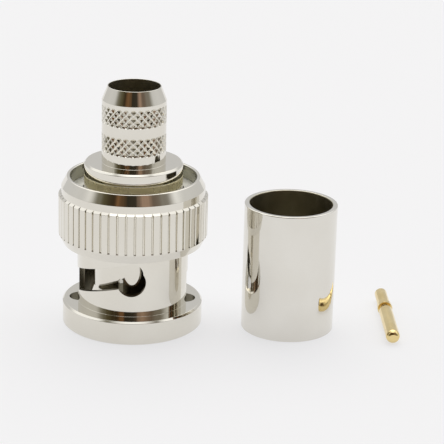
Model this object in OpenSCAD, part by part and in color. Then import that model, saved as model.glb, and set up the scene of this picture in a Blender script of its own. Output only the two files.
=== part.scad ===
// Crimp plug of a quarter-turn bayonet coaxial connector, with its loose ferrule and centre contact.
// Origin: middle of the nut's mating face. +Z runs up the axis to the cable end,
// and +X runs through a bayonet channel, towards the ferrule and the contact.

/* [Nut: front ring and barrel] */
// Bore that takes the barrel of the mating jack
jack_bore_d = 9.78; // [9.7:0.01:9.95]
// Lead-in chamfer round the mouth of that bore
mouth_chamfer = 0.25; // [0.1:0.01:0.4]
// Width of the front ring beyond the barrel
ring_w = 1.44; // [1.2:0.01:1.7]
// Height of the front ring
ring_h = 2.36; // [1.8:0.01:3]
// Chamfer round both edges of the front ring
ring_chamfer = 0.13; // [0.05:0.01:0.25]
// Wall of the slim barrel behind the ring
barrel_wall = 0.53; // [0.4:0.01:0.7]

/* [Nut: bayonet slots] */
// Diameter of the two channels that let the jack's studs in
channel_d = 2.4; // [2.2:0.01:2.6]
// Distance of a channel's middle outside the jack bore's wall
channel_out = 0.11; // [0.05:0.01:0.25]
// Width of each cam slot
slot_w = 2.3; // [2.1:0.01:2.5]
// Height of the slot's middle above the ring, at the channel
slot_start = 1.98; // [1.6:0.01:2.4]
// Rise of the slot over its quarter turn
slot_rise = 2.26; // [1.8:0.01:2.6]
// Diameter of the detent hole at the end of the slot
detent_d = 2.8; // [2.5:0.01:3]
// Drop from the slot's middle to the detent's, back towards the mating face
detent_drop = 0.8; // [0.5:0.01:1]
// Barrel left between the slot's top and the knurled head
slot_land = 0.58; // [0.4:0.01:1]

/* [Nut: knurled head] */
// Wall of the head between its cup and the feet of its ribs
head_wall = 0.84; // [0.6:0.01:1.2]
// Number of ribs round the grip
rib_count = 54; // [48:1:64]
// Turn of the whole rib pattern round the axis, in degrees
rib_turn = 2.7; // [0:0.1:7]
// Height of each rib above the head
rib_h = 0.28; // [0.2:0.01:0.4]
// Width of the groove between two ribs, at its top
groove_w = 0.24; // [0.18:0.01:0.4]
// Width of the groove between two ribs, at its foot
groove_foot_w = 0.14; // [0.08:0.01:0.2]
// Length of the ribs between their end chamfers
rib_len = 3.86; // [3.4:0.01:5]
// Height of the slope at the ribs' rear end
rib_end_h = 0.19; // [0.1:0.01:0.4]
// Height of the chamfer below the ribs
under_h = 0.87; // [0.6:0.01:1.1]
// Width of the chamfer below the ribs
under_w = 0.45; // [0.42:0.01:0.6]
// Plain band behind the ribs
band_h = 0.72; // [0.4:0.01:0.9]
// Height of the cone behind the band
cone_h = 0.7; // [0.5:0.01:0.9]
// Height of the rounded lip behind the cone
lip_h = 0.24; // [0.15:0.01:0.3]
// Flat land round the rear edge of the nut
lip_land = 0.06; // [0.03:0.01:0.12]

/* [Nut: cup for the body and its spring] */
// Width of the cup's floor, outside the jack's bore
cup_floor_w = 1.24; // [1.1:0.01:1.4]
// Depth of the retaining ring's rear face below the nut's rear edge
ring_recess = 1.32; // [1.2:0.01:1.6]
// Depth of the retaining ring's groove in the cup's wall
groove_depth = 0.3; // [0.2:0.01:0.34]
// Thickness of the retaining ring
retainer_t = 0.5; // [0.4:0.01:0.6]
// Gap between the ends of the retaining ring
retainer_gap = 2.2; // [1.5:0.1:3]
// Thickness of the thrust washer
thrust_t = 0.25; // [0.2:0.01:0.4]
// Thickness of the wave washer's sheet
wave_t = 0.22; // [0.18:0.01:0.3]
// Travel of the body against the wave washer
travel = 0.8; // [0.6:0.01:0.9]
// Number of waves round the wave washer
wave_count = 3; // [3:1:4]

/* [Body and outer contact] */
// Thickness of the shoulder that the wave washer pushes on
shoulder_t = 0.75; // [0.6:0.01:1]
// Width of the room for the washers, from the body's neck to the cup's wall
washer_w = 1.36; // [1.2:0.01:1.6]
// Wall of the body round the outer contact's sleeve
body_wall = 0.95; // [0.8:0.01:1.1]
// Wall of the outer contact's sleeve
sleeve_wall = 0.42; // [0.35:0.01:0.5]
// Depth of the sleeve's tip behind the mating face
tip_recess = 2.5; // [2:0.01:3]
// Height of the contact bead round the sleeve's tip
bead_h = 0.3; // [0.15:0.01:0.35]
// Number of contact fingers
finger_count = 4; // [3:1:6]
// Direction of the first slit round the axis
slit_turn = 254; // [0:1:359]
// Width of the slits between the contact fingers
slit_w = 0.45; // [0.3:0.01:0.6]
// Length of the slits
slit_len = 3.1; // [2.6:0.1:4.5]
// Length of the gasket
gasket_t = 0.8; // [0.6:0.01:1.2]

/* [Insulator] */
// Depth of the insulator's front face behind the mating face
insulator_recess = 7.6; // [7:0.01:8.2]
// Thickness of the insulator's flange
insulator_flange_t = 0.58; // [0.4:0.01:0.8]
// Length of the narrow bore that stops the contact's collar
insulator_web = 0.7; // [0.5:0.01:1]

/* [Crimp stem] */
// Height that the stem's flange stands proud of the nut
flange_proud = 1.47; // [1.2:0.01:2]
// Depth of the flange's lower end below the nut's rear edge
flange_sunk = 0.68; // [0.55:0.01:0.9]
// Length of the spigot pressed into the body
spigot_len = 0.98; // [0.7:0.01:1.2]
// Bore that takes the cable's dielectric
stem_bore_d = 4.98; // [4.8:0.01:5.1]
// Wall of the stem
stem_wall = 0.61; // [0.5:0.01:0.75]
// Length of the stem behind its flange
stem_len = 7.49; // [7:0.01:9]
// Height of the cone at the stem's end
stem_cone_h = 1.33; // [0.9:0.01:1.6]
// Flat land round the stem's rear edge
stem_land = 0.06; // [0.03:0.01:0.12]
// Chamfer round the flange's rear edge
flange_chamfer = 0.12; // [0.05:0.01:0.25]
// Height of each diamond-knurled band
knurl_h = 1.86; // [1.4:0.01:2.1]
// Plain stem between the flange and the lower knurled band
knurl_low = 1.16; // [0.8:0.01:1.3]
// Plain stem between the two knurled bands
knurl_space = 0.94; // [0.6:0.01:1]
// Number of pits round a band, in one row
knurl_count = 28; // [24:1:32]
// Number of staggered rows of pits in a band
knurl_rows = 5; // [4:1:6]
// Depth of the pits between the knurl's ridges
knurl_depth = 0.18; // [0.08:0.01:0.22]
// Distance from a band's edge to its first row of pits
knurl_edge = 0.2; // [0.12:0.01:0.25]

/* [Crimp ferrule] */
// Bore of the ferrule
ferrule_bore_d = 8.03; // [7.8:0.01:8.2]
// Wall of the ferrule
ferrule_wall = 0.505; // [0.4:0.005:0.7]
// Length of the ferrule
ferrule_len = 12.7; // [11:0.1:14]
// Chamfer round the ferrule's edges
ferrule_chamfer = 0.1; // [0.05:0.01:0.15]
// Space between the plug's grip and the ferrule
ferrule_space = 3.51; // [1:0.01:6]
// Place of the ferrule behind the plug's axis
ferrule_y = -0.96; // [-3:0.01:3]

/* [Centre contact] */
// Diameter of the mating pin
pin_d = 1.35; // [1.3:0.01:1.4]
// Length of the mating pin, from its tip to its neck
pin_len = 6.95; // [6:0.05:8]
// Length of the pin's rounded nose
nose_len = 0.5; // [0.3:0.05:0.8]
// Diameter of the flat at the pin's tip
nose_d = 0.5; // [0.3:0.05:0.8]
// Diameter of the neck between the pin and its collar
neck_groove_d = 1; // [0.8:0.01:1.05]
// Length of that neck
neck_groove_len = 0.7; // [0.4:0.05:1]
// Diameter of the collar that stops in the insulator
collar_d = 1.48; // [1.45:0.01:1.8]
// Length of the collar
collar_len = 0.7; // [0.4:0.05:1]
// Length of the crimp barrel behind the collar
crimp_len = 3.5; // [3:0.05:5]
// Bore for the cable's inner conductor
crimp_bore_d = 0.9; // [0.8:0.01:1]
// Depth of that bore
crimp_bore_len = 3.2; // [2.5:0.05:3.5]
// Wall of the crimp barrel round that bore
crimp_wall = 0.17; // [0.15:0.01:0.2]
// Chamfer round the collar and the barrel's open end
crimp_chamfer = 0.05; // [0.03:0.01:0.06]
// Space between the ferrule and the contact's collar
contact_space = 4.78; // [2:0.01:8]
// Place of the pin's tip in front of the plug's axis
contact_y = -5.75; // [-8:0.01:-4]

/* [Fits] */
// Radial clearance of what turns or slides
run_gap = 0.08; // [0.06:0.01:0.1]
// Axial clearance between faces that rest on each other
face_gap = 0.03; // [0.02:0.01:0.05]
// Radial clearance of what is pushed in by hand
push_gap = 0.02; // [0.01:0.01:0.04]
// Radial clearance of the washers round the neck
washer_gap = 0.18; // [0.12:0.01:0.25]
// Radial clearance of the contact in the insulator
contact_gap = 0.03; // [0.02:0.01:0.05]
// Radial clearance of the gasket in the jack's bore
gasket_gap = 0.15; // [0.1:0.01:0.3]

/* [Hidden] */
$fn = 96;
// how far a cutter reaches past what it cuts
over = 1;
nickel = [0.82, 0.80, 0.76];
gold = [0.86, 0.72, 0.40];
steel = [0.62, 0.61, 0.58];

jack_bore_r = jack_bore_d / 2;
barrel_r = jack_bore_r + barrel_wall;
ring_r = barrel_r + ring_w;
channel_r = jack_bore_r + channel_out;
cup_r = jack_bore_r + cup_floor_w;
head_r = cup_r + head_wall;
grip_r = head_r + rib_h;
slot_z = ring_h + slot_start;
slot_end_z = slot_z + slot_rise;
detent_z = slot_end_z - detent_drop;
head_z = slot_end_z + slot_w / 2 + slot_land;
rib_z = head_z + under_h;
band_z = rib_z + rib_len;
cone_z = band_z + rib_end_h + band_h;
lip_z = cone_z + cone_h;
nut_top = lip_z + lip_h;

// the stack in the cup, from the rear edge down
retainer_z = nut_top - ring_recess - retainer_t;
thrust_z = retainer_z - face_gap - thrust_t;
wave_h = travel + wave_t + face_gap;
wave_z = thrust_z - face_gap - wave_h;
shoulder_z = wave_z - face_gap - shoulder_t;
cup_z = shoulder_z - face_gap;
neck_r = cup_r - washer_w;
washer_r = neck_r + washer_gap;
sleeve_r = neck_r - body_wall;
sleeve_bore_r = sleeve_r - sleeve_wall;
flange_z = nut_top - flange_sunk;
stem_z = nut_top + flange_proud;
stem_top = stem_z + stem_len;
stem_bore_r = stem_bore_d / 2;
stem_r = stem_bore_r + stem_wall;
spigot_z = flange_z - spigot_len;
insulator_top = spigot_z - face_gap;
sleeve_top = insulator_top - insulator_flange_t - face_gap;
knurl_z = [stem_z + knurl_low, stem_z + knurl_low + knurl_h + knurl_space];

ferrule_bore_r = ferrule_bore_d / 2;
ferrule_r = ferrule_bore_r + ferrule_wall;
ferrule_x = grip_r + ferrule_space + ferrule_r;
pin_r = pin_d / 2;
collar_r = collar_d / 2;
crimp_bore_r = crimp_bore_d / 2;
crimp_r = crimp_bore_r + crimp_wall;
collar_z = pin_len + neck_groove_len;
crimp_z = collar_z + collar_len;
contact_len = crimp_z + crimp_len;
contact_x = ferrule_x + ferrule_r + contact_space + collar_r;

// a tube from its two radii, its foot and its length
module tube(outer, inner, z, h) {
    translate([0, 0, z])
        rotate_extrude()
            translate([inner, 0])
                square([outer - inner, h]);
}

// points of a cam slot's section at a share t of its quarter turn
function slot_section(t) =
    let (a = 180 + 90 * t, z = slot_z + slot_rise * t, lo = z - slot_w / 2, hi = z + slot_w / 2,
        near = jack_bore_r - over / 2, far = barrel_r + over / 2)
    [for (p = [[near, lo], [far, lo], [far, hi], [near, hi]]) [p[0] * cos(a), p[0] * sin(a), p[1]]];

// the cam slot's sloping part, as a helical band with a square section
module slot_band(steps = 18) {
    points = [for (i = [0:steps]) each slot_section(i / steps)];
    sides = [for (i = [0:steps - 1], k = [0:3])
        let (p = 4 * i + k, q = 4 * i + (k + 1) % 4)
        each [[p, q, q + 4], [p, q + 4, p + 4]]];
    last = 4 * steps;
    polyhedron(points, concat(sides, [[3, 2, 1, 0]], [[last, last + 1, last + 2, last + 3]]));
}

// a round hole through the barrel's wall, facing the camera side, at a height
module wall_hole(d, z) {
    translate([0, -jack_bore_r + over / 2, z])
        rotate([90, 0, 0])
            cylinder(d = d, h = barrel_wall + over);
}

// one stud's whole path: up its channel, round the slot and back into the detent
module bayonet_cut() {
    translate([-channel_r, 0, -over])
        cylinder(d = channel_d, h = slot_z + slot_w / 2 + over);
    slot_band();
    wall_hole(slot_w, slot_end_z);
    wall_hole(detent_d, detent_z);
}

module nut_core() {
    rotate_extrude()
        difference() {
            polygon([[0, 0], [ring_r - ring_chamfer, 0], [ring_r, ring_chamfer],
                [ring_r, ring_h - ring_chamfer], [ring_r - ring_chamfer, ring_h],
                [barrel_r, ring_h], [barrel_r, head_z], [grip_r - under_w, head_z],
                [head_r, head_z + under_h * (under_w - rib_h) / under_w], [head_r, cone_z],
                [cup_r + lip_land + lip_h, lip_z], [cup_r + lip_land, nut_top], [0, nut_top]]);
            translate([-over, -over])
                square([jack_bore_r + over, cup_z + 2 * over]);
            polygon([[0, -over], [jack_bore_r + mouth_chamfer + over, -over],
                [jack_bore_r, mouth_chamfer], [0, mouth_chamfer]]);
            translate([-over, cup_z])
                square([cup_r + over, nut_top]);
            translate([0, retainer_z - face_gap])
                square([cup_r + groove_depth, retainer_t + 2 * face_gap]);
        }
}

// the ribs of the grip: a grooved ring, trimmed to its chamfered outline
module grip_ribs() {
    foot_r = head_r - rib_h / 2;
    end_z = band_z + 1.5 * rib_end_h;
    intersection() {
        translate([0, 0, head_z])
            linear_extrude(height = cone_z - head_z)
                difference() {
                    circle(r = grip_r);
                    circle(r = foot_r);
                    for (i = [0:rib_count - 1])
                        rotate(rib_turn + (i + 0.5) * 360 / rib_count)
                            polygon([[foot_r - over, -groove_foot_w / 2], [head_r, -groove_foot_w / 2],
                                [grip_r, -groove_w / 2], [grip_r + over, -groove_w / 2],
                                [grip_r + over, groove_w / 2], [grip_r, groove_w / 2],
                                [head_r, groove_foot_w / 2], [foot_r - over, groove_foot_w / 2]]);
                }
        rotate_extrude()
            polygon([[0, head_z], [grip_r - under_w, head_z], [grip_r, rib_z], [grip_r, band_z],
                [foot_r, end_z], [0, end_z]]);
    }
}

module coupling_nut() {
    color(nickel)
        difference() {
            union() {
                nut_core();
                grip_ribs();
            }
            bayonet_cut();
            rotate(180)
                bayonet_cut();
        }
}

module retaining_ring() {
    color(steel)
        difference() {
            tube(cup_r + groove_depth - face_gap, washer_r, retainer_z, retainer_t);
            translate([-retainer_gap / 2, 0, retainer_z - over])
                cube([retainer_gap, 2 * cup_r, retainer_t + 2 * over]);
        }
}

module thrust_washer() {
    color(steel)
        tube(cup_r - run_gap, washer_r, thrust_z, thrust_t);
}

// points of the wave washer's section at an angle
function wave_section(a) =
    let (swing = (wave_h - wave_t) / 2, foot = wave_z + swing * (1 + sin(wave_count * a)),
        near = washer_r, far = cup_r - 2 * run_gap)
    [for (p = [[near, foot], [far, foot], [far, foot + wave_t], [near, foot + wave_t]])
        [p[0] * cos(a), p[0] * sin(a), p[1]]];

module wave_washer(steps = 72) {
    points = [for (i = [0:steps - 1]) each wave_section(i * 360 / steps)];
    faces = [for (i = [0:steps - 1], k = [0:3])
        let (j = (i + 1) % steps, p = 4 * i + k, q = 4 * i + (k + 1) % 4,
            pn = 4 * j + k, qn = 4 * j + (k + 1) % 4)
        each [[p, q, qn], [p, qn, pn]]];
    color(steel)
        polyhedron(points, faces);
}

module body_shell() {
    color(nickel)
        rotate_extrude()
            polygon([[sleeve_r, shoulder_z], [cup_r - run_gap, shoulder_z],
                [cup_r - run_gap, shoulder_z + shoulder_t], [neck_r, shoulder_z + shoulder_t],
                [neck_r, flange_z], [sleeve_r, flange_z]]);
}

module outer_contact() {
    bead_z = tip_recess + 2 * bead_h;
    color(nickel)
        difference() {
            rotate_extrude()
                polygon([[sleeve_bore_r + bead_h / 2, tip_recess], [sleeve_r, tip_recess],
                    [sleeve_r + bead_h, tip_recess + bead_h], [sleeve_r + bead_h, bead_z],
                    [sleeve_r, bead_z + 3 * bead_h], [sleeve_r, sleeve_top],
                    [sleeve_bore_r, sleeve_top], [sleeve_bore_r, tip_recess + bead_h]]);
            for (i = [0:finger_count - 1])
                rotate(slit_turn + i * 360 / finger_count)
                    translate([0, 0, tip_recess + slit_len - slit_w / 2]) {
                        rotate([0, 90, 0])
                            cylinder(d = slit_w, h = 2 * sleeve_r);
                        translate([0, -slit_w / 2, -slit_len])
                            cube([2 * sleeve_r, slit_w, slit_len]);
                    }
        }
}

module gasket() {
    color([0.78, 0.33, 0.22])
        tube(jack_bore_r - gasket_gap, sleeve_r + push_gap, shoulder_z - gasket_t, gasket_t);
}

module insulator() {
    pin_bore_r = pin_r + contact_gap;
    collar_bore_r = collar_r + contact_gap;
    rim_r = sleeve_bore_r - push_gap;
    color([0.96, 0.96, 0.94])
        rotate_extrude()
            polygon([[pin_bore_r, insulator_recess], [rim_r, insulator_recess], [rim_r, sleeve_top + face_gap],
                [sleeve_r - push_gap, sleeve_top + face_gap], [sleeve_r - push_gap, insulator_top],
                [collar_bore_r, insulator_top],
                [collar_bore_r, insulator_recess + insulator_web],
                [pin_bore_r, insulator_recess + insulator_web]]);
}

// one ring of points for a knurled band, at two radii by turns
function knurl_ring(z, even_r, odd_r, turn) =
    [for (i = [0:2 * knurl_count - 1])
        let (a = i * 180 / knurl_count, r = (i + turn) % 2 == 0 ? even_r : odd_r)
        [r * cos(a), r * sin(a), z]];

// a diamond-knurled sleeve round the stem's core: pits between crossing ridges
module knurl_band(z) {
    row_h = (knurl_h - 2 * knurl_edge) / (knurl_rows - 1);
    inner_r = stem_r - 1.6 * knurl_depth;
    rim_r = stem_r - knurl_depth / 6;
    ring = 2 * knurl_count;
    top = (knurl_rows + 1) * ring;
    inner_low = top + ring;
    inner_top = inner_low + ring;
    points = concat(
        knurl_ring(z, rim_r, rim_r, 0),
        [for (j = [1:knurl_rows])
            each knurl_ring(z + knurl_edge + (j - 1) * row_h, stem_r, stem_r - knurl_depth, j)],
        knurl_ring(z + knurl_h, rim_r, rim_r, 0),
        knurl_ring(z, inner_r, inner_r, 0),
        knurl_ring(z + knurl_h, inner_r, inner_r, 0));
    outside = [for (j = [0:knurl_rows], i = [0:ring - 1])
        let (a = j * ring + i, b = j * ring + (i + 1) % ring, c = a + ring, d = b + ring)
        each ((i + j) % 2 == 0 ? [[a, d, b], [a, c, d]] : [[a, c, b], [b, c, d]])];
    rest = [for (i = [0:ring - 1])
        let (k = (i + 1) % ring)
        each [[i, k, inner_low + k], [i, inner_low + k, inner_low + i],
            [top + i, inner_top + i, inner_top + k], [top + i, inner_top + k, top + k],
            [inner_low + i, inner_low + k, inner_top + k], [inner_low + i, inner_top + k, inner_top + i]]];
    polyhedron(points, concat(outside, rest));
}

module crimp_stem() {
    core_r = stem_r - 1.3 * knurl_depth;
    color(nickel) {
        rotate_extrude()
            difference() {
                polygon([[stem_bore_r, spigot_z], [sleeve_r, spigot_z], [sleeve_r, flange_z],
                    [neck_r, flange_z], [neck_r, stem_z - flange_chamfer],
                    [neck_r - flange_chamfer, stem_z], [stem_r, stem_z],
                    [stem_r, stem_top - stem_cone_h], [stem_bore_r + stem_land, stem_top],
                    [stem_bore_r, stem_top]]);
                for (z = knurl_z)
                    translate([core_r, z])
                        square([stem_r, knurl_h]);
            }
        for (z = knurl_z)
            knurl_band(z);
    }
}

module crimp_ferrule() {
    top = ferrule_len - ferrule_chamfer;
    color(nickel)
        translate([ferrule_x, ferrule_y, 0])
            rotate_extrude()
                polygon([[ferrule_bore_r + ferrule_chamfer, 0], [ferrule_r - ferrule_chamfer, 0],
                    [ferrule_r, ferrule_chamfer], [ferrule_r, top], [ferrule_r - ferrule_chamfer, ferrule_len],
                    [ferrule_bore_r + ferrule_chamfer, ferrule_len], [ferrule_bore_r, top],
                    [ferrule_bore_r, ferrule_chamfer]]);
}

// lies on its collar, with the pin pointing to the front
module centre_contact(steps = 6) {
    tip_r = nose_d / 2;
    nose = [for (i = [0:steps])
        let (a = 90 * i / steps)
        [tip_r + (pin_r - tip_r) * sin(a), nose_len * (1 - cos(a))]];
    color(gold)
        translate([contact_x, contact_y, collar_r])
            rotate([-90, 0, 0])
                rotate_extrude()
                    polygon(concat([[0, 0]], nose, [[pin_r, pin_len],
                        [neck_groove_d / 2, pin_len], [neck_groove_d / 2, collar_z],
                        [collar_r - crimp_chamfer, collar_z], [collar_r, collar_z + crimp_chamfer],
                        [collar_r, crimp_z - crimp_chamfer], [collar_r - crimp_chamfer, crimp_z],
                        [crimp_r, crimp_z], [crimp_r, contact_len - crimp_chamfer],
                        [crimp_r - crimp_chamfer, contact_len],
                        [crimp_bore_r + crimp_chamfer, contact_len],
                        [crimp_bore_r, contact_len - crimp_chamfer],
                        [crimp_bore_r, contact_len - crimp_bore_len],
                        [0, contact_len - crimp_bore_len]]));
}

coupling_nut();
retaining_ring();
thrust_washer();
wave_washer();
body_shell();
outer_contact();
gasket();
insulator();
crimp_stem();
crimp_ferrule();
centre_contact();
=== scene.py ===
import bpy, math
from mathutils import Matrix


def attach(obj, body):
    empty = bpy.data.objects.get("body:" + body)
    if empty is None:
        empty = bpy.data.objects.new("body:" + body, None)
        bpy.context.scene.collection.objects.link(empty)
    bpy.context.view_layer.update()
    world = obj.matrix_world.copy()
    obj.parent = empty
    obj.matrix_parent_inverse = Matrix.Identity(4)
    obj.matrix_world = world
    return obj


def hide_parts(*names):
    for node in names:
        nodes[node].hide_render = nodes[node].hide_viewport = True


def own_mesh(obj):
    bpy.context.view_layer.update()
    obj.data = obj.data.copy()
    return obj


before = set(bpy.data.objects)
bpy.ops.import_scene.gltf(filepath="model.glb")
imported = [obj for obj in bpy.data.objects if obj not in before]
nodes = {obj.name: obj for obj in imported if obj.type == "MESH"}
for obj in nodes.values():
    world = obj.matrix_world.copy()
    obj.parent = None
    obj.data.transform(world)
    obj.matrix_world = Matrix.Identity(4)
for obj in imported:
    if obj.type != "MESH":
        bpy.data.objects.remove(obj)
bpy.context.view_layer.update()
print("frame loaded:", len(nodes), "nodes")

millimetre = 0.001  # pieces are modelled with 1 unit = 1 mm and scaled down when they are finished
sides = 256  # facets round a turned surface
weldDistance = 0.0005  # nearer points are merged
slimDistance = 0.0003  # faces thinner than this are dissolved
noiseRange = (0.3, 0.7)  # most of a noise pattern lies between these values


# helpers for modelling by hand

def deselectAll():
    if bpy.context.object and bpy.context.object.mode != "OBJECT":
        bpy.ops.object.mode_set(mode="OBJECT")
    bpy.ops.object.select_all(action="DESELECT")


def makeActive(piece):
    deselectAll()
    piece.select_set(True)
    bpy.context.view_layer.objects.active = piece


def editAll(piece):
    makeActive(piece)
    bpy.ops.object.mode_set(mode="EDIT")
    bpy.ops.mesh.select_mode(type="VERT")
    bpy.ops.mesh.select_all(action="SELECT")


def backToObject():
    bpy.ops.object.mode_set(mode="OBJECT")


def addModifier(piece, kind, **settings):
    makeActive(piece)
    modifier = piece.modifiers.new(kind.lower(), kind)
    for setting, value in settings.items():
        setattr(modifier, setting, value)
    bpy.ops.object.modifier_apply(modifier=modifier.name)


def turnedPiece(name, outline, count=sides, loop=True):
    # a circle is extruded and scaled from one (radius, height) of the outline to the next
    deselectAll()
    radius, height = outline[0]
    bpy.ops.mesh.primitive_circle_add(vertices=count, radius=radius, location=(0, 0, height))
    piece = bpy.context.object
    piece.name = name
    bpy.ops.object.transform_apply(location=True, rotation=True, scale=True)
    editAll(piece)
    for nextRadius, nextHeight in outline[1:] + (outline[:1] if loop else []):
        bpy.ops.mesh.extrude_region_move(TRANSFORM_OT_translate={"value": (0, 0, nextHeight - height)})
        ratio = nextRadius / radius
        if ratio != 1:
            bpy.ops.transform.resize(value=(ratio, ratio, 1), center_override=(0, 0, nextHeight))
        radius, height = nextRadius, nextHeight
    bpy.ops.mesh.select_all(action="SELECT")
    if loop:
        bpy.ops.mesh.remove_doubles(threshold=weldDistance)
    else:
        bpy.ops.mesh.fill_holes(sides=0)
        bpy.ops.mesh.select_all(action="SELECT")
    bpy.ops.mesh.normals_make_consistent(inside=False)
    backToObject()
    return piece


def mergeDoubles(piece):
    editAll(piece)
    bpy.ops.mesh.remove_doubles(threshold=weldDistance)
    bpy.ops.mesh.dissolve_degenerate(threshold=slimDistance)
    backToObject()


def cutWith(piece, cutters):
    for cutter in cutters:
        addModifier(piece, "BOOLEAN", operation="DIFFERENCE", solver="EXACT", object=cutter)
        bpy.data.objects.remove(cutter)


def softenEdges(piece, width, segments=2, angle=32):
    addModifier(piece, "BEVEL", width=width, segments=segments, limit_method="ANGLE",
                angle_limit=math.radians(angle), use_clamp_overlap=True)


def smoothByAngle(piece, angle=34):
    makeActive(piece)
    bpy.ops.object.shade_smooth_by_angle(angle=math.radians(angle))
    addModifier(piece, "WEIGHTED_NORMAL", mode="FACE_AREA_WITH_ANGLE", weight=100, keep_sharp=True)


def toMetres(piece):
    makeActive(piece)
    piece.scale = (millimetre,) * 3
    bpy.ops.object.transform_apply(location=True, rotation=True, scale=True)


def handOver(piece, body, slotName, finish, *replaced):
    toMetres(piece)
    piece.data.materials.clear()
    piece.data.materials.append(finish)
    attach(piece, body)
    if replaced:
        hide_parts(*replaced)


# materials

def newMaterial(name):
    material = bpy.data.materials.new(name)
    material.use_nodes = True
    tree = material.node_tree
    return material, tree, tree.nodes["Principled BSDF"]


def addNode(tree, kind, **settings):
    node = tree.nodes.new(kind)
    for setting, value in settings.items():
        setattr(node, setting, value)
    return node


def noiseFrom(tree, coordinates, scale, detail=4, stretch=(1, 1, 1)):
    mapping = addNode(tree, "ShaderNodeMapping")
    mapping.inputs["Scale"].default_value = stretch
    tree.links.new(coordinates, mapping.inputs["Vector"])
    noise = addNode(tree, "ShaderNodeTexNoise")
    noise.inputs["Scale"].default_value = scale
    noise.inputs["Detail"].default_value = detail
    tree.links.new(mapping.outputs["Vector"], noise.inputs["Vector"])
    return noise.outputs["Fac"]


def rampFrom(tree, value, stops):
    stops = list(stops)
    ramp = addNode(tree, "ShaderNodeValToRGB")
    while len(ramp.color_ramp.elements) < len(stops):
        ramp.color_ramp.elements.new(0.5)
    for element, (place, colour) in zip(ramp.color_ramp.elements, stops):
        element.position = place
        element.color = (*colour, 1)
    tree.links.new(value, ramp.inputs["Fac"])
    return ramp.outputs["Color"]


def remapFrom(tree, value, low, high):
    remap = addNode(tree, "ShaderNodeMapRange")
    remap.inputs["From Min"].default_value = noiseRange[0]
    remap.inputs["From Max"].default_value = noiseRange[1]
    remap.inputs["To Min"].default_value = low
    remap.inputs["To Max"].default_value = high
    tree.links.new(value, remap.inputs["Value"])
    return remap.outputs["Result"]


def mathFrom(tree, operation, first, second=None):
    node = addNode(tree, "ShaderNodeMath", operation=operation)
    for socket, value in zip(node.inputs, (first, second)):
        if value is None:
            continue
        if isinstance(value, (int, float)):
            socket.default_value = value
        else:
            tree.links.new(value, socket)
    return node.outputs["Value"]


def smoothStep(tree, value, low, high):
    step = addNode(tree, "ShaderNodeMapRange", interpolation_type="SMOOTHSTEP")
    step.inputs["From Min"].default_value = low
    step.inputs["From Max"].default_value = high
    tree.links.new(value, step.inputs["Value"])
    return step.outputs["Result"]


def mixColours(tree, share, first, second):
    mix = addNode(tree, "ShaderNodeMix", data_type="RGBA")
    tree.links.new(share, mix.inputs["Factor"])
    for socket, value in ((mix.inputs[6], first), (mix.inputs[7], second)):
        if isinstance(value, tuple):
            socket.default_value = (*value, 1)
        else:
            tree.links.new(value, socket)
    return mix.outputs[2]


def seenRays(tree):
    # 1 for what the camera sees, also in metal and through glass
    path = addNode(tree, "ShaderNodeLightPath")
    mirrored = mathFrom(tree, "MAXIMUM", path.outputs["Is Glossy Ray"], path.outputs["Is Transmission Ray"])
    return mathFrom(tree, "MAXIMUM", path.outputs["Is Camera Ray"], mirrored)


def bumpFrom(tree, shader, height, strength, distance):
    bump = addNode(tree, "ShaderNodeBump")
    bump.inputs["Strength"].default_value = strength
    bump.inputs["Distance"].default_value = distance
    tree.links.new(height, bump.inputs["Height"])
    tree.links.new(bump.outputs["Normal"], shader.inputs["Normal"])


def platedMetal(name, look):
    # plating: slow colour clouds, finer clouds in the gloss and fine turning marks round the axis
    material, tree, shader = newMaterial(name)
    coordinates = addNode(tree, "ShaderNodeTexCoord").outputs["Object"]
    clouds = noiseFrom(tree, coordinates, look["cloudScale"])
    colour = rampFrom(tree, clouds, zip(noiseRange, (look["dark"], look["light"])))
    tree.links.new(colour, shader.inputs["Base Color"])
    shader.inputs["Metallic"].default_value = look.get("metal", 1)
    gloss = noiseFrom(tree, coordinates, look["glossScale"])
    tree.links.new(remapFrom(tree, gloss, look["smooth"], look["rough"]), shader.inputs["Roughness"])
    marks = noiseFrom(tree, coordinates, look["markScale"], detail=3, stretch=look["markStretch"])
    bumpFrom(tree, shader, marks, look["markStrength"], look["markDepth"])
    return material


nickelLook = {
    "dark": (0.745, 0.715, 0.64), "light": (0.785, 0.76, 0.69),
    "cloudScale": 220, "glossScale": 900, "smooth": 0.03, "rough": 0.075,
    "markScale": 1500, "markStretch": (0.05, 0.05, 6), "markStrength": 0.05, "markDepth": 0.00001,
}
ferruleLook = {**nickelLook, "dark": (0.745, 0.72, 0.66), "light": (0.785, 0.765, 0.71)}
goldLook = {
    "dark": (0.80, 0.62, 0.28), "light": (0.88, 0.72, 0.38),
    "cloudScale": 500, "glossScale": 1500, "smooth": 0.10, "rough": 0.17,
    "markScale": 1500, "markStretch": (0.3, 6, 0.3), "markStrength": 0.08, "markDepth": 0.00001,
}
# nickel for the insides of bores, its colour darkened to about half as painted shade; turning gives only
# its roughness and marks
boreShadeLook = {
    "dark": (0.36, 0.33, 0.235), "light": (0.43, 0.40, 0.30),
    "cloudScale": 260, "glossScale": 900, "smooth": 0.32, "rough": 0.42,
    "markScale": 1500, "markStretch": (0.05, 0.05, 8), "markStrength": 0.1, "markDepth": 0.00001,
}
shadedLook = {
    "dark": (0.20, 0.18, 0.13), "light": (0.26, 0.24, 0.18),
    "cloudScale": 260, "glossScale": 900, "smooth": 0.25, "rough": 0.38,
    "markScale": 1500, "markStretch": (0.05, 0.05, 8), "markStrength": 0.25, "markDepth": 0.00002,
}
# nickel for the cup's inner wall, darkened as painted shade
cupShadeLook = {
    "dark": (0.34, 0.33, 0.25), "light": (0.40, 0.39, 0.30),
    "cloudScale": 260, "glossScale": 900, "smooth": 0.08, "rough": 0.14,
    "markScale": 1500, "markStretch": (0.05, 0.05, 4), "markStrength": 0.15, "markDepth": 0.00001,
}
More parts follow.
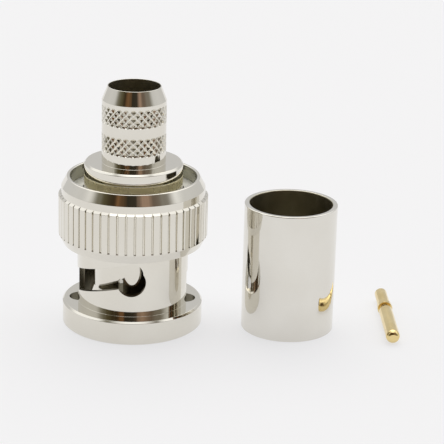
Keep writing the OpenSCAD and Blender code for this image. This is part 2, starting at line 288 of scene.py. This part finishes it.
# light golden colour for the flange's foot: a painted reflection of warm light
footGlowLook = {
    "dark": (0.87, 0.79, 0.47), "light": (0.96, 0.89, 0.60), "metal": 0.4,
    "cloudScale": 260, "glossScale": 900, "smooth": 0.22, "rough": 0.34,
    "markScale": 1500, "markStretch": (0.05, 0.05, 8), "markStrength": 0.08, "markDepth": 0.00001,
}
ringLook = {
    "dark": (0.74, 0.74, 0.71), "light": (0.82, 0.82, 0.79), "metal": 0.35,
    "cloudScale": 300, "glossScale": 1200, "smooth": 0.35, "rough": 0.5,
    "markScale": 2500, "markStretch": (1, 1, 1), "markStrength": 0.1, "markDepth": 0.00001,
}
turnedGoldLook = {**goldLook, "smooth": 0.25, "rough": 0.35, "markStrength": 0.2, "markDepth": 0.00002}
springLook = {
    "dark": (0.60, 0.58, 0.53), "light": (0.70, 0.68, 0.63),
    "cloudScale": 300, "glossScale": 1200, "smooth": 0.12, "rough": 0.22,
    "markScale": 2500, "markStretch": (1, 1, 1), "markStrength": 0.05, "markDepth": 0.00001,
}
nickel = platedMetal("nickelPlate", nickelLook)
gold = platedMetal("goldPlate", goldLook)
boreShadeNickel = platedMetal("boreShadeNickel", boreShadeLook)
shadedNickel = platedMetal("shadedNickel", shadedLook)
cupShadeMetal = platedMetal("cupShadeMetal", cupShadeLook)
footGlowPaint = platedMetal("footGlowPaint", footGlowLook)
ringSteel = platedMetal("ringSteel", ringLook)
ferruleNickel = platedMetal("ferruleNickel", ferruleLook)
turnedGold = platedMetal("turnedGold", turnedGoldLook)
springSteel = platedMetal("springSteel", springLook)


def dullMaterial(name, look):
    # plastic or rubber: two close tones, an uneven gloss and a fine grain
    toneRange = (0.35, 0.65)
    material, tree, shader = newMaterial(name)
    coordinates = addNode(tree, "ShaderNodeTexCoord").outputs["Object"]
    tones = noiseFrom(tree, coordinates, look["toneScale"])
    colour = rampFrom(tree, tones, zip(toneRange, (look["dark"], look["light"])))
    tree.links.new(colour, shader.inputs["Base Color"])
    tree.links.new(remapFrom(tree, tones, look["smooth"], look["rough"]), shader.inputs["Roughness"])
    grain = noiseFrom(tree, coordinates, look["grainScale"], detail=6)
    bumpFrom(tree, shader, grain, look["grainStrength"], look["grainDepth"])
    return material


ptfe = dullMaterial("ptfe", {
    "dark": (0.80, 0.80, 0.77), "light": (0.87, 0.87, 0.85), "toneScale": 500,
    "smooth": 0.35, "rough": 0.5, "grainScale": 6000,
    "grainStrength": 0.2, "grainDepth": 0.00001})
silicone = dullMaterial("silicone", {
    "dark": (0.42, 0.10, 0.06), "light": (0.55, 0.15, 0.09), "toneScale": 700,
    "smooth": 0.5, "rough": 0.7, "grainScale": 5000,
    "grainStrength": 0.2, "grainDepth": 0.00002})
print("materials made")

for nodeName, finish in {
    "retaining_ring": ringSteel, "thrust_washer": springSteel,
    "body_shell": nickel, "outer_contact": nickel, "gasket": silicone, "insulator": ptfe,
}.items():
    nodes[nodeName].data.materials.clear()
    nodes[nodeName].data.materials.append(finish)
print("hidden pieces finished")


def finishFaces(piece, finish, chosen):
    # gives the faces that a test picks by place and normal, in millimetres, a finish of their own
    piece.data.materials.append(finish)
    last = len(piece.data.materials) - 1
    for face in piece.data.polygons:
        if chosen(face.center / millimetre, face.normal):
            face.material_index = last


def fromAxis(place, normal, centre=(0, 0)):
    # a face's distance from an upright axis, and how far it looks outwards: 1 straight out, -1 inwards
    out = (place.x - centre[0], place.y - centre[1])
    distance = math.hypot(*out)
    return distance, (normal.x * out[0] + normal.y * out[1]) / max(distance, 0.001)


def boreTest(largest, centre=(0, 0), low=-1, high=30):
    # the walls of a bore: near its upright axis and turned towards it
    def chosen(place, normal):
        distance, outward = fromAxis(place, normal, centre)
        return distance < largest and low < place.z < high and outward < -0.5
    return chosen


# coupling nut

nut = {
    "boreRadius": 4.89, "mouthChamfer": 0.25,
    "ringRadius": 6.86, "ringHeight": 2.36, "ringChamfer": 0.18, "barrelRadius": 5.42,
    "headFoot": 8.33, "underRadius": 6.80, "gripRadius": 7.25, "underTop": 9.20,
    "rootRadius": 7.09, "rootTop": 12.88, "rootStep": 0.04, "rootSlope": 0.10,
    "headRadius": 6.97, "coneFoot": 13.97, "lipRadius": 6.35, "lipRound": 0.12,
    "lipTurns": (28, 49, 70, 90), "top": 14.97, "innerRound": 0.08, "innerMiddle": (0.02, 0.03),
    "cupRadius": 6.13, "cupFloor": 10.92, "grooveRadius": 6.43, "grooveLow": 13.06,
    "grooveHigh": 13.62, "edge": 0.03, "sharpAngle": 24,
}
slotCut = {
    "channelRadius": 1.2, "channelPlace": 5.0, "channelSides": 64, "channelDrop": 1,
    "width": 2.3, "startHeight": 4.34, "endHeight": 6.60, "steps": 24, "near": 4.4, "far": 5.9,
    "holeRadius": 1.4, "holeHeight": 5.80, "holePlace": 5.4, "holeDepth": 2, "holeSides": 96,
}
# where the nut's finishes and its painted shade change: distances from the axis, heights, and parts of a
# face's normal
nutFinish = {
    "wallNear": 4.7, "wallFar": 5.40, "notchFar": 6.25, "notchFoot": 0.2, "boreFar": 5.0,
    "cupFar": 6.5, "brightArc": -4.2, "edgeRoom": 0.05, "cupRoom": 0.1,
    "plainOutward": 0.9, "upright": 0.5, "inward": -0.5,
}


def channelCutter(turn):
    deselectAll()
    top = slotCut["startHeight"] + slotCut["width"] / 2
    drop = slotCut["channelDrop"]
    angle = math.radians(180 + turn)
    place = slotCut["channelPlace"]
    bpy.ops.mesh.primitive_cylinder_add(
        vertices=slotCut["channelSides"], radius=slotCut["channelRadius"], depth=top + drop,
        location=(place * math.cos(angle), place * math.sin(angle), (top - drop) / 2))
    return bpy.context.object


def slotCutter(turn):
    # a flat square across the barrel's wall, extruded and turned step by step up the helix
    deselectAll()
    middle = (slotCut["near"] + slotCut["far"]) / 2
    bpy.ops.mesh.primitive_plane_add(size=1, location=(0, 0, 0), rotation=(math.pi / 2, 0, 0))
    cutter = bpy.context.object
    cutter.scale = (slotCut["far"] - slotCut["near"], slotCut["width"], 1)
    bpy.ops.object.transform_apply(location=True, rotation=True, scale=True)
    editAll(cutter)
    bpy.ops.transform.translate(value=(middle, 0, slotCut["startHeight"]))
    bpy.ops.transform.rotate(value=math.radians(180 + turn), orient_axis="Z", center_override=(0, 0, 0))
    rise = (slotCut["endHeight"] - slotCut["startHeight"]) / slotCut["steps"]
    for step in range(slotCut["steps"]):
        bpy.ops.mesh.extrude_region_move(TRANSFORM_OT_translate={"value": (0, 0, rise)})
        bpy.ops.transform.rotate(value=-math.radians(90 / slotCut["steps"]), orient_axis="Z",
                                 center_override=(0, 0, 0))
    bpy.ops.mesh.select_all(action="SELECT")
    bpy.ops.mesh.normals_make_consistent(inside=False)
    backToObject()
    return cutter


def holeCutter(radius, height, turn):
    deselectAll()
    angle = math.radians(turn - 90)
    place = slotCut["holePlace"]
    bpy.ops.mesh.primitive_cylinder_add(
        vertices=slotCut["holeSides"], radius=radius, depth=slotCut["holeDepth"],
        location=(place * math.cos(angle), place * math.sin(angle), height),
        rotation=(math.pi / 2, 0, math.radians(turn)))
    return bpy.context.object


def makeNut():
    n = nut
    lip = []
    for turn in n["lipTurns"]:
        angle = math.radians(turn)
        lip.append((n["lipRadius"] + n["lipRound"] * math.cos(angle),
                    n["top"] - n["lipRound"] + n["lipRound"] * math.sin(angle)))
    outline = [
        (n["boreRadius"] + n["mouthChamfer"], 0), (n["ringRadius"] - n["ringChamfer"], 0),
        (n["ringRadius"], n["ringChamfer"]), (n["ringRadius"], n["ringHeight"] - n["ringChamfer"]),
        (n["ringRadius"] - n["ringChamfer"], n["ringHeight"]),
        (n["barrelRadius"], n["ringHeight"]), (n["barrelRadius"], n["headFoot"]),
        (n["underRadius"], n["headFoot"]), (n["gripRadius"], n["underTop"]),
        (n["gripRadius"], n["underTop"] + n["rootStep"]), (n["rootRadius"], n["underTop"] + n["rootStep"]),
        (n["rootRadius"], n["rootTop"]), (n["headRadius"], n["rootTop"] + n["rootSlope"]),
        (n["headRadius"], n["coneFoot"]), *lip, (n["cupRadius"] + n["innerRound"], n["top"]),
        (n["cupRadius"] + n["innerMiddle"][0], n["top"] - n["innerMiddle"][1]),
        (n["cupRadius"], n["top"] - n["innerRound"]),
        (n["cupRadius"], n["grooveHigh"]), (n["grooveRadius"], n["grooveHigh"]),
        (n["grooveRadius"], n["grooveLow"]), (n["cupRadius"], n["grooveLow"]),
        (n["cupRadius"], n["cupFloor"]), (n["boreRadius"], n["cupFloor"]),
        (n["boreRadius"], n["mouthChamfer"]),
    ]
    shell = turnedPiece("couplingNut", outline)
    softenEdges(shell, n["edge"], segments=3, angle=n["sharpAngle"])
    for turn in (0, 180):
        cutWith(shell, [
            channelCutter(turn), slotCutter(turn),
            holeCutter(slotCut["width"] / 2, slotCut["endHeight"], turn),
            holeCutter(slotCut["holeRadius"], slotCut["holeHeight"], turn)])
    mergeDoubles(shell)
    smoothByAngle(shell, n["sharpAngle"])
    return shell


ribs = {"count": 54, "turn": 2.7, "inner": 6.88, "outer": 7.25, "width": 0.74, "round": 0.15,
        "low": 8.6, "high": 13.5, "endHeight": 13.06, "endSlope": (0.19, 0, 0.28),
        "underSlope": (0.87, 0, -0.45), "inset": 0.01, "edge": 0.02, "softAngle": 40}


def makeRibs():
    r = ribs
    deselectAll()
    bpy.ops.mesh.primitive_cube_add(
        size=1, location=((r["inner"] + r["outer"]) / 2, 0, (r["low"] + r["high"]) / 2),
        scale=(r["outer"] - r["inner"], r["width"], r["high"] - r["low"]))
    rib = bpy.context.object
    rib.name = "gripRibs"
    bpy.ops.object.transform_apply(location=True, rotation=True, scale=True)
    editAll(rib)
    bpy.ops.mesh.select_mode(type="EDGE")
    bpy.ops.mesh.select_all(action="DESELECT")
    backToObject()
    for edge in rib.data.edges:
        ends = [rib.data.vertices[i].co for i in edge.vertices]
        outside = min(end.x for end in ends) > r["outer"] - r["inset"]
        edge.select = outside and abs(ends[0].z - ends[1].z) > r["width"]
    bpy.ops.object.mode_set(mode="EDIT")
    bpy.ops.mesh.bevel(offset=r["round"], segments=4, profile=0.5, affect="EDGES")
    # both ends are cut to the slopes of the grip
    for place, slope in (((r["outer"], 0, r["endHeight"]), r["endSlope"]),
                         ((r["outer"] - r["inset"], 0, nut["underTop"]), r["underSlope"])):
        bpy.ops.mesh.select_all(action="SELECT")
        bpy.ops.mesh.bisect(plane_co=place, plane_no=slope, use_fill=True, clear_outer=True)
    backToObject()
    softenEdges(rib, r["edge"], angle=r["softAngle"])
    editAll(rib)
    bpy.ops.transform.rotate(value=-math.radians(r["turn"]), orient_axis="Z", center_override=(0, 0, 0))
    bpy.ops.mesh.spin(dupli=True, steps=r["count"], angle=2 * math.pi, center=(0, 0, 0), axis=(0, 0, 1))
    bpy.ops.mesh.select_all(action="SELECT")
    bpy.ops.mesh.remove_doubles(threshold=weldDistance)
    bpy.ops.mesh.normals_make_consistent(inside=False)
    backToObject()
    smoothByAngle(rib)
    return rib


def isCutFace(place, normal):
    # the jack's bore and the walls of the channels, slots and detent holes
    f = nutFinish
    distance, outward = fromAxis(place, normal)
    ringTop, wallTop = nut["ringHeight"], nut["headFoot"] - f["edgeRoom"]
    inWall = f["wallNear"] < distance < f["wallFar"] and ringTop < place.z < wallTop
    inNotch = distance < f["notchFar"] and f["notchFoot"] < place.z < ringTop - f["edgeRoom"]
    inBore = distance < f["boreFar"] and place.z < nut["cupFloor"]
    cutWall = inWall and outward < f["plainOutward"]
    cutNotch = inNotch and abs(normal.z) < f["upright"]
    return cutWall or cutNotch or (inBore and outward < f["inward"])


def isCupWall(place, normal):
    # the cup's wall, given darker nickel as painted shade, but for the arc in front, which keeps the bright
    # plating so that it lights the flange's foot
    f = nutFinish
    wall = boreTest(f["cupFar"], low=nut["cupFloor"] - f["cupRoom"], high=nut["top"] - f["cupRoom"])
    return place.y > f["brightArc"] and wall(place, normal)


couplingNut = makeNut()
handOver(couplingNut, "nut", "nut_nickel", nickel, "coupling_nut")
finishFaces(couplingNut, shadedNickel, isCutFace)
# the cup's wall, but for its front arc, gets the darkened nickel: painted shade
finishFaces(couplingNut, cupShadeMetal, isCupWall)
gripRibs = makeRibs()
handOver(gripRibs, "nut", "nut_nickel", nickel, "coupling_nut")
print("coupling nut made")


# wave washer, which flattens when the body presses on it; here it is made at its full, unpressed height

waveWasher = {
    "near": 4.95, "far": 5.97, "foot": 11.73, "top": 12.78, "thickness": 0.22, "waves": 3,
    "sides": 72, "pressed": 0.22,  # the share of its height that is left when it is pressed
    "edge": 0.03,
}


def makeWaveWasher():
    w = waveWasher
    face = w["foot"] + w["thickness"]
    swing = (w["top"] - face) / 2
    washer = turnedPiece("waveWasher", [
        (w["near"], w["foot"]), (w["far"], w["foot"]), (w["far"], face), (w["near"], face)], w["sides"])
    softenEdges(washer, w["edge"])
    # each step round the ring is lifted to the wave
    for side in range(w["sides"]):
        angle = 2 * math.pi * side / w["sides"]
        editAll(washer)
        bpy.ops.mesh.select_all(action="DESELECT")
        backToObject()
        for vertex in washer.data.vertices:
            aside = math.remainder(math.atan2(vertex.co.y, vertex.co.x) - angle, 2 * math.pi)
            vertex.select = abs(aside) < math.pi / w["sides"]
        bpy.ops.object.mode_set(mode="EDIT")
        bpy.ops.transform.translate(value=(0, 0, swing * (1 + math.sin(w["waves"] * angle))))
        backToObject()
    smoothByAngle(washer)
    return washer


waveSpring = makeWaveWasher()
handOver(waveSpring, "washers", "spring_steel", springSteel, "wave_washer")
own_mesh(waveSpring)
print("wave washer made")


# crimp stem

stem = {
    "bore": 2.49, "radius": 3.10, "spigotFoot": 13.25, "spigotRadius": 3.82,
    "flangeFoot": 14.23, "flangeRadius": 4.77, "flangeTop": 16.38, "flangeChamfer": 0.18,
    "grooveHeight": 15.15, "grooveDepth": 0.04, "rootHeight": 0.4,
    "coneFoot": 22.54, "coneRoom": 0.2, "top": 23.87, "endRadius": 2.56,
    "edge": 0.03, "softAngle": 18, "smoothAngle": 30, "boreFar": 2.6, "footRoom": 0.2,
}
knurl = {
    "pits": 28, "rows": 5, "bands": (17.54, 20.34), "height": 1.86, "edge": 0.2, "fade": 0.12,
    "depth": 0.17, "levels": 8, "ridge": 1.35, "skin": 0.02, "columnsPerPit": 8, "stepsPerRow": 4,
}


knurlRow = (knurl["height"] - 2 * knurl["edge"]) / (knurl["rows"] - 1)


def knurlHeights(foot):
    # heights of the loops through one band
    step = knurlRow / knurl["stepsPerRow"]
    lowest = foot + knurl["edge"] - knurlRow
    count = (knurl["rows"] + 1) * knurl["stepsPerRow"]
    return [h for h in (lowest + step * i for i in range(count + 1)) if foot <= h <= foot + knurl["height"]]


def pitDepth(angle, height):
    # 1 in the middle of a pit and 0 on the ridges between
    deepest = 0
    for foot in knurl["bands"]:
        if not foot <= height <= foot + knurl["height"]:
            continue
        for row in range(knurl["rows"]):
            rise = abs(height - foot - knurl["edge"] - row * knurlRow) / knurlRow
            column = angle / (2 * math.pi) * knurl["pits"] + 0.5 * (row % 2)
            aside = 2 * abs(column - round(column))
            deepest = max(deepest, 1 - (rise + aside))
        edgeRoom = min(height - foot, foot + knurl["height"] - height) / knurl["fade"]
        deepest *= min(1, edgeRoom)
    return min(1, deepest * knurl["ridge"])


def makeStem():
    s = stem
    wall = [(s["radius"], h) for foot in knurl["bands"] for h in knurlHeights(foot)]
    outline = [
        (s["bore"], s["spigotFoot"]), (s["spigotRadius"], s["spigotFoot"]),
        (s["spigotRadius"], s["flangeFoot"]),
        (s["flangeRadius"], s["flangeFoot"]), (s["flangeRadius"], s["grooveHeight"] - s["grooveDepth"]),
        (s["flangeRadius"] - s["grooveDepth"], s["grooveHeight"]),
        (s["flangeRadius"], s["grooveHeight"] + s["grooveDepth"]),
        (s["flangeRadius"], s["flangeTop"] - s["flangeChamfer"]),
        (s["flangeRadius"] - s["flangeChamfer"], s["flangeTop"]), (s["radius"], s["flangeTop"]),
        (s["radius"], s["flangeTop"] + s["rootHeight"]), *wall,
        (s["radius"], s["coneFoot"] - s["coneRoom"]), (s["radius"], s["coneFoot"]),
        (s["endRadius"], s["top"]), (s["bore"], s["top"]),
    ]
    shell = turnedPiece("crimpStem", outline, knurl["pits"] * knurl["columnsPerPit"])
    softenEdges(shell, s["edge"], segments=3, angle=s["softAngle"])
    mergeDoubles(shell)
    # the wheel's pits, pressed in level by level
    levels = knurl["levels"]
    for level in range(1, levels + 1):
        editAll(shell)
        bpy.ops.mesh.select_all(action="DESELECT")
        backToObject()
        found = False
        for vertex in shell.data.vertices:
            x, y, z = vertex.co
            if abs(math.hypot(x, y) - s["radius"]) < knurl["skin"]:
                vertex.select = round(pitDepth(math.atan2(y, x), z) * levels) == level
                found = found or vertex.select
        if not found:
            continue
        bpy.ops.object.mode_set(mode="EDIT")
        ratio = 1 - knurl["depth"] * level / levels / s["radius"]
        bpy.ops.transform.resize(value=(ratio, ratio, 1), center_override=(0, 0, 0))
        backToObject()
    smoothByAngle(shell, s["smoothAngle"])
    return shell


def isFlangeFoot(place, normal):
    # the foot of the flange, below a fine turned groove, coloured light golden as a painted reflection of
    # warm light
    distance = math.hypot(place.x, place.y)
    return place.z < stem["grooveHeight"] and distance > stem["radius"] + stem["footRoom"]


crimpStem = makeStem()
handOver(crimpStem, "plug_body", "body_nickel", nickel, "crimp_stem")
# the stem's bore gets the darkened nickel: painted shade
finishFaces(crimpStem, boreShadeNickel, boreTest(stem["boreFar"]))
# the flange's foot gets the light golden colour: a painted reflection
finishFaces(crimpStem, footGlowPaint, isFlangeFoot)
print("crimp stem made")


# loose ferrule

ferrule = {"bore": 4.015, "radius": 4.52, "length": 12.7, "place": (15.28, -0.96, 0), "edge": 0.1,
           "boreFar": 4.1}


def makeFerrule():
    f = ferrule
    tube = turnedPiece("crimpFerrule", [
        (f["bore"], 0), (f["radius"], 0), (f["radius"], f["length"]), (f["bore"], f["length"])])
    softenEdges(tube, f["edge"], segments=4)
    editAll(tube)
    bpy.ops.transform.translate(value=f["place"])
    backToObject()
    smoothByAngle(tube)
    return tube


crimpFerrule = makeFerrule()
handOver(crimpFerrule, "nut", "ferrule_nickel", ferruleNickel, "crimp_ferrule")
# the ferrule's bore gets the darkened nickel: painted shade
finishFaces(crimpFerrule, boreShadeNickel, boreTest(ferrule["boreFar"], ferrule["place"][:2]))
print("ferrule made")


# loose centre contact, turned upright with its tip down and then laid on the floor

contact = {
    "pinRadius": 0.675, "pinLength": 6.95, "noseLength": 0.5, "tip": 0.25, "noseSteps": 8,
    "neck": 0.5, "neckLength": 0.7, "collarRadius": 0.74, "collarLength": 0.7,
    "barrelRadius": 0.62, "barrelLength": 3.5, "bore": 0.45, "boreDepth": 3.2,
    "drillTip": 0.045, "drillLength": 0.25, "place": (25.32, -5.75, 0.74), "edge": 0.03,
    "softAngle": 24, "sides": 128, "boreFar": 0.47, "boreFront": 1,
}


def makeContact():
    c = contact
    collarFoot = c["pinLength"] + c["neckLength"]
    barrelFoot = collarFoot + c["collarLength"]
    end = barrelFoot + c["barrelLength"]
    nose = []
    for step in range(c["noseSteps"], -1, -1):
        angle = math.pi / 2 * step / c["noseSteps"]
        nose.append((c["tip"] + (c["pinRadius"] - c["tip"]) * math.sin(angle),
                     c["noseLength"] * (1 - math.cos(angle))))
    pin = turnedPiece("centreContact", [
        (c["drillTip"], end - c["boreDepth"] - c["drillLength"]), (c["bore"], end - c["boreDepth"]),
        (c["bore"], end), (c["barrelRadius"], end), (c["barrelRadius"], barrelFoot),
        (c["collarRadius"], barrelFoot), (c["collarRadius"], collarFoot), (c["neck"], collarFoot),
        (c["neck"], c["pinLength"]), (c["pinRadius"], c["pinLength"]), *nose], c["sides"], loop=False)
    softenEdges(pin, c["edge"], segments=3, angle=c["softAngle"])
    editAll(pin)
    bpy.ops.transform.rotate(value=math.radians(90), orient_axis="X", center_override=(0, 0, 0))
    backToObject()
    lengths = [vertex.co.y for vertex in pin.data.vertices]
    editAll(pin)
    if abs(min(lengths)) > max(lengths):  # the tip has to lie at the front
        bpy.ops.transform.rotate(value=math.pi, orient_axis="Z", center_override=(0, 0, 0))
    bpy.ops.transform.translate(value=c["place"])
    bpy.ops.mesh.normals_make_consistent(inside=False)
    backToObject()
    smoothByAngle(pin)
    return pin


def isContactBore(place, normal):
    aside = math.hypot(place.x - contact["place"][0], place.z - contact["place"][2])
    return place.y > contact["boreFront"] and aside < contact["boreFar"]


centreContact = makeContact()
handOver(centreContact, "nut", "gold", gold, "centre_contact")
finishFaces(centreContact, turnedGold, isContactBore)
print("contact made")


# floor, light and camera

studio = {
    "floorSize": 1.6, "floorColour": (0.90, 0.90, 0.905), "cloudScale": 6, "cloudShade": 0.99,
    "floorRoughness": 0.9, "floorGloss": 0.1, "background": (0.913, 0.913, 0.93),
    "backdrop": (0.94, 0.94, 0.955), "backdropShare": 0.68,
}
# heights and depths are parts of a unit direction, from 0 level or aside to 1 straight up or behind
tent = {
    "walls": ((0.2, (0.62, 0.62, 0.61)), (0.6, (0.72, 0.72, 0.72)), (0.95, (0.66, 0.66, 0.665))),
    "roof": (1.15, 1.15, 1.15), "roofHeights": (0.36, 0.56),
    "crown": (1.6, 1.6, 1.6), "crownHeights": (0.92, 0.97),
    "lamp": (2.6, 2.5, 2.3), "lampDepths": (0.25, 0.6), "lampWidths": (0.45, 0.2),
    "lampHeights": (0.5, 0.7), "strength": 1.0,
}
# the dark room in front: degrees round from the camera's side, and the colour there
room = {
    "strips": (
        (-75, (0.30, 0.29, 0.24)), (-50, (0.10, 0.085, 0.045)), (-32, (0.045, 0.03, 0.015)),
        (-22, (0.21, 0.11, 0.05)), (-10, (0.035, 0.03, 0.02)), (8, (0.045, 0.037, 0.026)),
        (22, (0.38, 0.26, 0.19)), (36, (0.16, 0.12, 0.09)), (60, (0.24, 0.22, 0.185)),
        (80, (0.34, 0.33, 0.30))),
    "wobbleScale": 5, "wobble": 0.09, "floorHeights": (0.0, 0.06), "ceilingHeights": (-0.93, -0.86),
    "sideDegrees": (82, 62),
}


def makeFloor():
    deselectAll()
    bpy.ops.mesh.primitive_plane_add(size=studio["floorSize"], location=(0, 0, 0))
    floor = bpy.context.object
    floor.name = "floor"
    material, tree, shader = newMaterial("paleFloor")
    coordinates = addNode(tree, "ShaderNodeTexCoord").outputs["Object"]
    clouds = noiseFrom(tree, coordinates, studio["cloudScale"])
    near = studio["floorColour"]
    far = tuple(c * studio["cloudShade"] for c in near)
    colour = rampFrom(tree, clouds, zip(noiseRange, (near, far)))
    tree.links.new(colour, shader.inputs["Base Color"])
    shader.inputs["Roughness"].default_value = studio["floorRoughness"]
    shader.inputs["Specular IOR Level"].default_value = studio["floorGloss"]
    # what is seen of the floor is part backdrop, so its shadows stay pale
    backdrop = addNode(tree, "ShaderNodeEmission")
    backdrop.inputs["Color"].default_value = (*studio["backdrop"], 1)
    shown = addNode(tree, "ShaderNodeMixShader")
    tree.links.new(mathFrom(tree, "MULTIPLY", seenRays(tree), studio["backdropShare"]), shown.inputs["Fac"])
    tree.links.new(shader.outputs["BSDF"], shown.inputs[1])
    tree.links.new(backdrop.outputs["Emission"], shown.inputs[2])
    tree.links.new(shown.outputs["Shader"], tree.nodes["Material Output"].inputs["Surface"])
    floor.data.materials.append(material)


def makeWorld():
    # a pale tent, open towards the camera, where a dark room shows
    world = bpy.data.worlds.new("studio")
    bpy.context.scene.world = world
    world.use_nodes = True
    tree = world.node_tree
    tree.nodes.clear()
    direction = addNode(tree, "ShaderNodeTexCoord").outputs["Generated"]
    parts = addNode(tree, "ShaderNodeSeparateXYZ")
    tree.links.new(direction, parts.inputs["Vector"])
    across, depth, height = parts.outputs
    # the room's furniture as soft upright strips, by the angle round from the camera's side
    angle = mathFrom(tree, "ARCTAN2", across, mathFrom(tree, "MULTIPLY", depth, -1.0))
    share = mathFrom(tree, "ADD", mathFrom(tree, "MULTIPLY", angle, 0.5 / math.pi), 0.5)
    wobble = mathFrom(tree, "SUBTRACT", noiseFrom(tree, direction, room["wobbleScale"], 2), 0.5)
    share = mathFrom(tree, "ADD", share, mathFrom(tree, "MULTIPLY", wobble, room["wobble"]))
    furniture = rampFrom(tree, share, [(0.5 + degrees / 360, shade) for degrees, shade in room["strips"]])
    # the tent's walls from front to rear, its roof, its bright crown and the lamp behind
    behind = mathFrom(tree, "ADD", mathFrom(tree, "MULTIPLY", depth, 0.5), 0.5)
    cloth = rampFrom(tree, behind, tent["walls"])
    cloth = mixColours(tree, smoothStep(tree, height, *tent["roofHeights"]), cloth, tent["roof"])
    cloth = mixColours(tree, smoothStep(tree, height, *tent["crownHeights"]), cloth, tent["crown"])
    rear = smoothStep(tree, depth, *tent["lampDepths"])
    narrow = smoothStep(tree, mathFrom(tree, "ABSOLUTE", across), *tent["lampWidths"])
    raised = smoothStep(tree, height, *tent["lampHeights"])
    lamp = mathFrom(tree, "MULTIPLY", mathFrom(tree, "MULTIPLY", rear, narrow), raised)
    cloth = mixColours(tree, lamp, cloth, tent["lamp"])
    # the opening between them
    low = smoothStep(tree, height, *room["floorHeights"])
    below = smoothStep(tree, mathFrom(tree, "MULTIPLY", height, -1.0), *room["ceilingHeights"])
    edges = [math.radians(degrees) for degrees in room["sideDegrees"]]
    near = smoothStep(tree, mathFrom(tree, "ABSOLUTE", angle), *edges)
    opening = mathFrom(tree, "MULTIPLY", mathFrom(tree, "MULTIPLY", low, below), near)
    colour = mixColours(tree, opening, cloth, furniture)
    light = addNode(tree, "ShaderNodeBackground")
    light.inputs["Strength"].default_value = tent["strength"]
    tree.links.new(colour, light.inputs["Color"])
    plain = addNode(tree, "ShaderNodeBackground")
    plain.inputs["Color"].default_value = (*studio["background"], 1)
    seen = addNode(tree, "ShaderNodeMixShader")
    tree.links.new(addNode(tree, "ShaderNodeLightPath").outputs["Is Camera Ray"], seen.inputs["Fac"])
    tree.links.new(light.outputs["Background"], seen.inputs[1])
    tree.links.new(plain.outputs["Background"], seen.inputs[2])
    output = addNode(tree, "ShaderNodeOutputWorld")
    tree.links.new(seen.outputs["Shader"], output.inputs["Surface"])


view = {"place": (3.66, -168.32, 67.63), "pitch": 18.80, "turn": -1.70, "roll": 1.54,
        "lens": 147.91, "sensor": 36, "nearest": 0.01, "farthest": 10}


def makeCamera():
    deselectAll()
    bpy.ops.object.camera_add(location=[c * millimetre for c in view["place"]])
    camera = bpy.context.object
    camera.data.lens = view["lens"]
    camera.data.sensor_width = view["sensor"]
    camera.data.clip_start = view["nearest"]
    camera.data.clip_end = view["farthest"]
    camera.rotation_mode = "XYZ"
    camera.rotation_euler = (math.radians(90 - view["pitch"]), 0, math.radians(view["turn"]))
    bpy.context.view_layer.update()
    # the camera leans a little about its own axis
    roll = Matrix.Rotation(math.radians(view["roll"]), 3, "Z")
    camera.rotation_euler = (camera.matrix_world.to_3x3() @ roll).to_euler()
    bpy.context.scene.camera = camera


makeFloor()
makeWorld()
makeCamera()
bpy.context.scene.view_settings.view_transform = "Standard"
print("floor, light and camera made")
